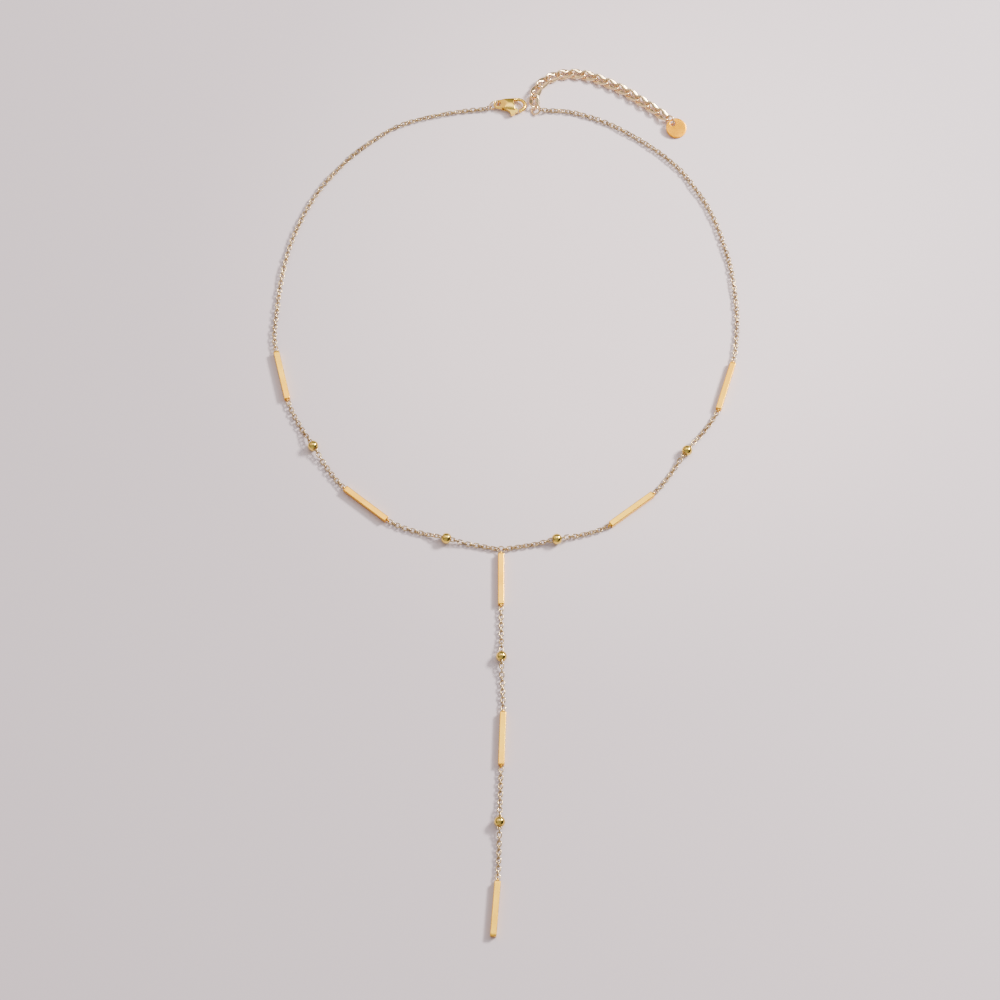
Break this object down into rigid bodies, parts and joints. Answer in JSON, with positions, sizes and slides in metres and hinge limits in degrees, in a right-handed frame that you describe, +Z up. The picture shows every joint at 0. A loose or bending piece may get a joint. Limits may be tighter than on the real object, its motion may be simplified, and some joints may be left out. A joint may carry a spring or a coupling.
{
  "type": "y necklace",
  "caption": "Fine cable-chain Y necklace with slim square bars, small drilled beads, a straight bar drop, a lobster clasp and a twisted-link extender with a plain round tag.",
  "frame": {"origin": "middle of the necklace's box, on the surface that it lies on", "axes": "+Y from the drop's tip towards the clasp, +X to the wearer's left with the front facing up, +Z up from the surface"},
  "size_m": [0.1328, 0.2601, 0.003],
  "materials": {
    "bar_gold": "pale gold plate, softly polished square faces",
    "bead_gold": "bright polished gold plate",
    "chain_gold": "fine pale gold wire, bright on its upper side",
    "extender_gold": "polished pale gold wire",
    "clasp_gold": "polished yellow gold plate",
    "tag_gold": "satin warm gold plate, plain on both faces"
  },
  "bodies": {
    "necklace": {"bar_left_upper": "bar_gold", "bar_left_lower": "bar_gold", "bar_right_upper": "bar_gold", "bar_right_lower": "bar_gold", "bar_drop_upper": "bar_gold", "bar_drop_middle": "bar_gold", "bar_drop_lower": "bar_gold", "bead_left_upper": "bead_gold", "bead_left_lower": "bead_gold", "bead_right_upper": "bead_gold", "bead_right_lower": "bead_gold", "bead_drop_upper": "bead_gold", "bead_drop_lower": "bead_gold", "chain_left_back": "chain_gold", "chain_right_back": "chain_gold", "chain_left_upper": "chain_gold", "chain_left_lower": "chain_gold", "chain_right_upper": "chain_gold", "chain_right_lower": "chain_gold", "chain_drop_upper": "chain_gold", "chain_drop_lower": "chain_gold", "junction_ring": "chain_gold", "clasp_ring": "extender_gold", "end_ring": "extender_gold", "tag_ring": "extender_gold", "tag": "tag_gold", "clasp_body": "clasp_gold", "extender_link_1": "extender_gold", "extender_link_2": "extender_gold", "extender_link_3": "extender_gold", "extender_link_4": "extender_gold", "extender_link_5": "extender_gold", "extender_link_6": "extender_gold", "extender_link_7": "extender_gold", "extender_link_8": "extender_gold", "extender_link_9": "extender_gold", "extender_link_10": "extender_gold", "extender_link_11": "extender_gold", "extender_link_12": "extender_gold", "extender_link_13": "extender_gold", "extender_link_14": "extender_gold"},
    "lever": {"clasp_lever": "clasp_gold"}
  },
  "joints": [
    {"name": "lever_hinge", "type": "hinge", "parent": "necklace", "child": "lever", "pos_m": [-0.00009, 0.11689, 0.00115], "axis": [0, 0, 1], "range_deg": [0, 20], "stiffness_Nm_per_rad": 0.0005, "springref_deg": -17.19}
  ]
}
